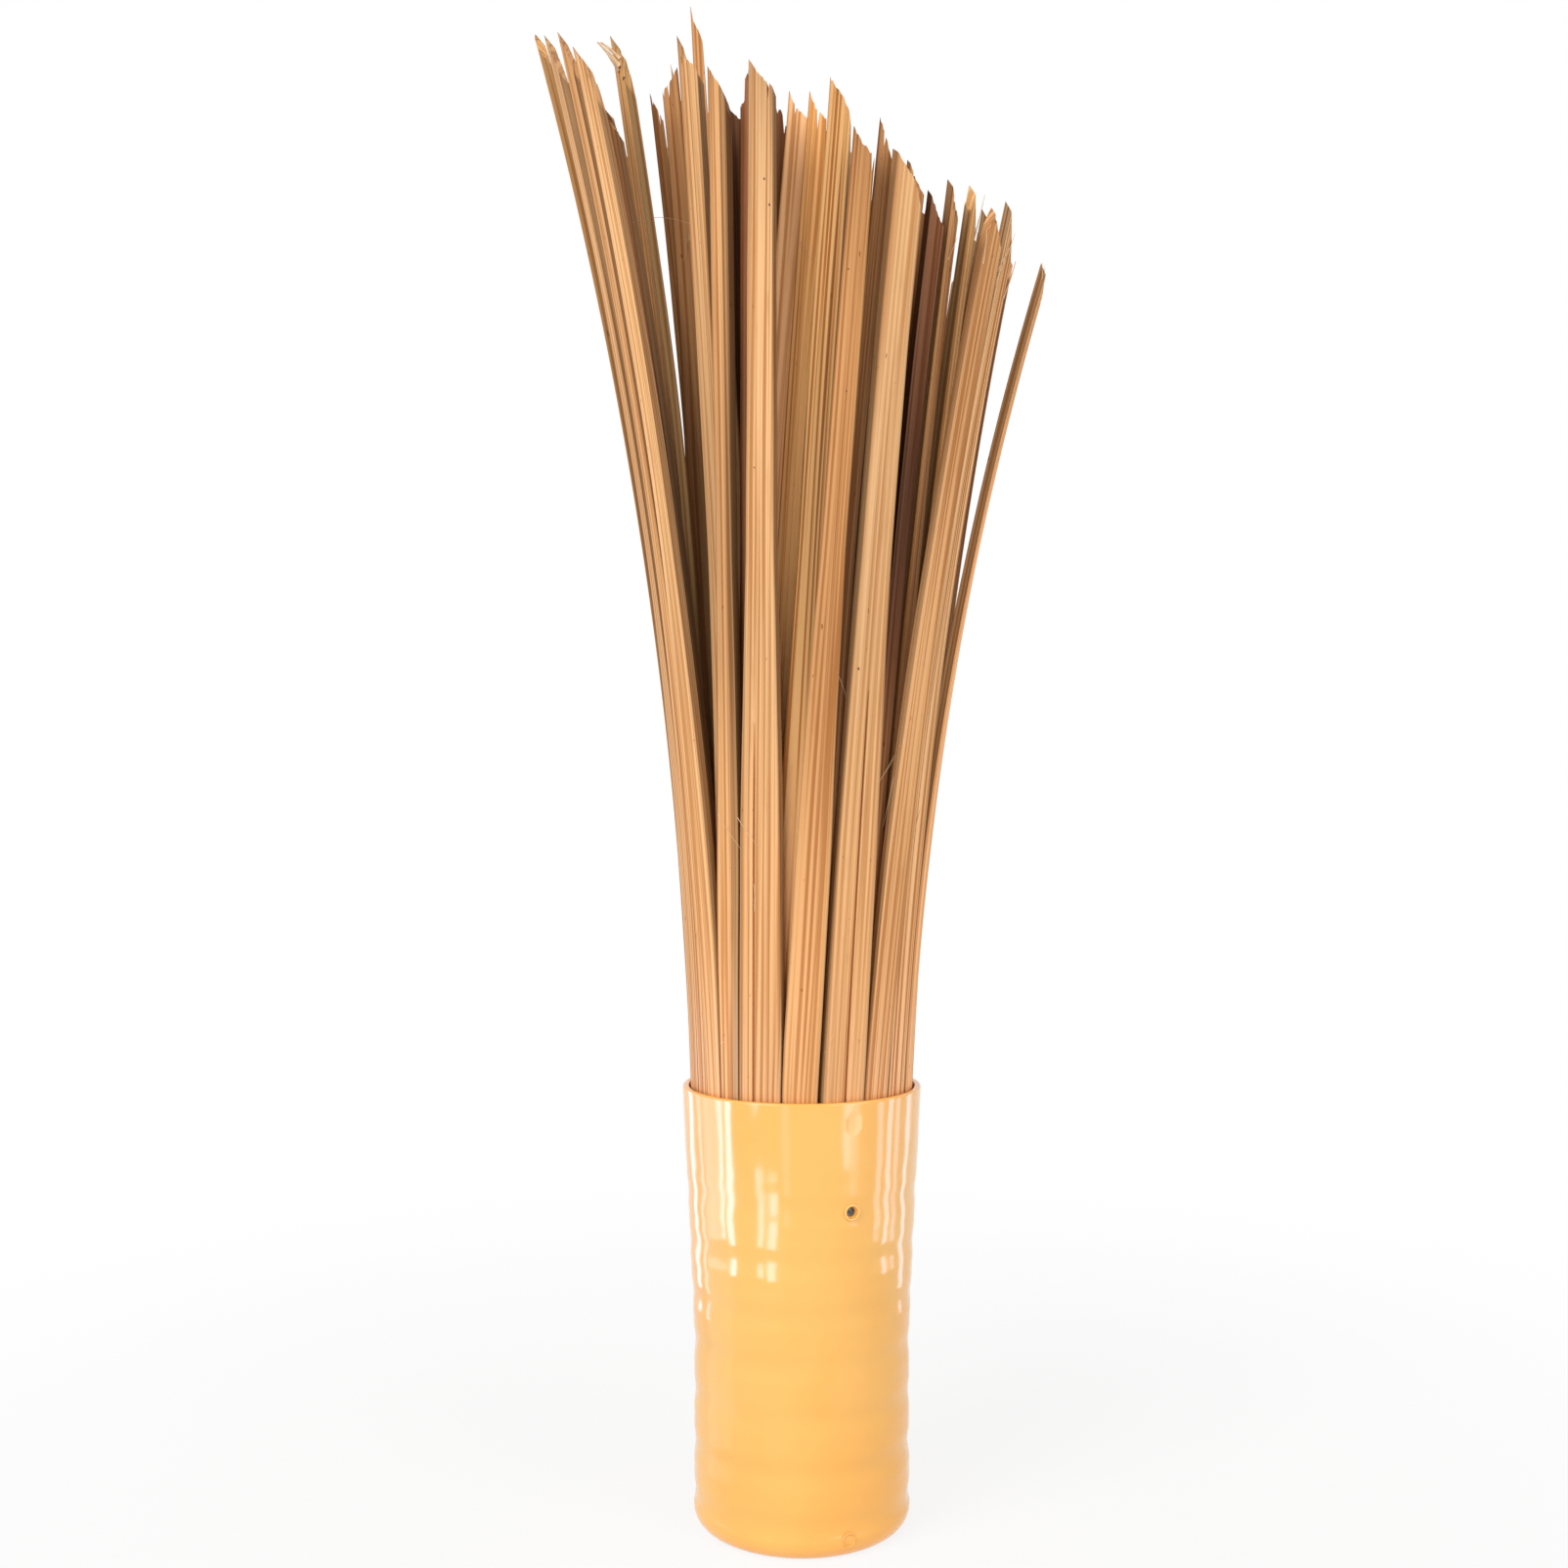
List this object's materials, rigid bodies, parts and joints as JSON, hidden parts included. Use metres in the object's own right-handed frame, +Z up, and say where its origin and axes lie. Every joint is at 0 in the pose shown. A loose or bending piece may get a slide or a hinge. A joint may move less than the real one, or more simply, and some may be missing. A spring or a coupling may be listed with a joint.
{
  "type": "bamboo wok brush",
  "caption": "Scrubbing brush of split-bamboo splints that fan out of a round flared plastic cup handle with grip rings.",
  "frame": {"origin": "centre of the handle's flat bottom, on the handle's axis", "axes": "+Z up the handle's axis to the splints' tips, -Y towards the front, +X to the right seen from the front"},
  "size_m": [0.08, 0.062, 0.2405],
  "materials": {
    "handle_plastic": "glossy moulded yellow plastic",
    "nail_steel": "plain steel wire",
    "bamboo": "dry split bamboo with lengthwise grain"
  },
  "bodies": {
    "root": {"handle": "handle_plastic", "inner_row_01": "bamboo", "inner_row_02": "bamboo", "inner_row_03": "bamboo", "inner_row_04": "bamboo", "inner_row_05": "bamboo", "inner_row_06": "bamboo", "inner_row_07": "bamboo", "inner_row_08": "bamboo", "inner_row_09": "bamboo", "inner_row_10": "bamboo", "nail": "nail_steel", "outer_splint_01": "bamboo", "outer_splint_02": "bamboo", "outer_splint_03": "bamboo", "outer_splint_04": "bamboo", "outer_splint_05": "bamboo", "outer_splint_06": "bamboo", "outer_splint_07": "bamboo", "outer_splint_08": "bamboo", "outer_splint_09": "bamboo", "outer_splint_10": "bamboo", "outer_splint_11": "bamboo", "outer_splint_12": "bamboo", "outer_splint_13": "bamboo", "outer_splint_14": "bamboo", "outer_splint_15": "bamboo", "outer_splint_16": "bamboo", "outer_splint_17": "bamboo", "outer_splint_18": "bamboo", "outer_splint_19": "bamboo", "outer_splint_20": "bamboo", "outer_splint_21": "bamboo", "second_splint_01": "bamboo", "second_splint_02": "bamboo", "second_splint_03": "bamboo", "second_splint_04": "bamboo", "second_splint_05": "bamboo", "second_splint_06": "bamboo", "second_splint_07": "bamboo", "second_splint_08": "bamboo", "second_splint_09": "bamboo", "second_splint_10": "bamboo", "second_splint_11": "bamboo", "second_splint_12": "bamboo", "second_splint_13": "bamboo", "second_splint_14": "bamboo", "second_splint_15": "bamboo", "second_splint_16": "bamboo", "second_splint_17": "bamboo", "second_splint_18": "bamboo", "second_splint_19": "bamboo", "second_splint_20": "bamboo", "second_splint_21": "bamboo", "second_splint_22": "bamboo", "second_splint_23": "bamboo"}
  },
  "joints": []
}
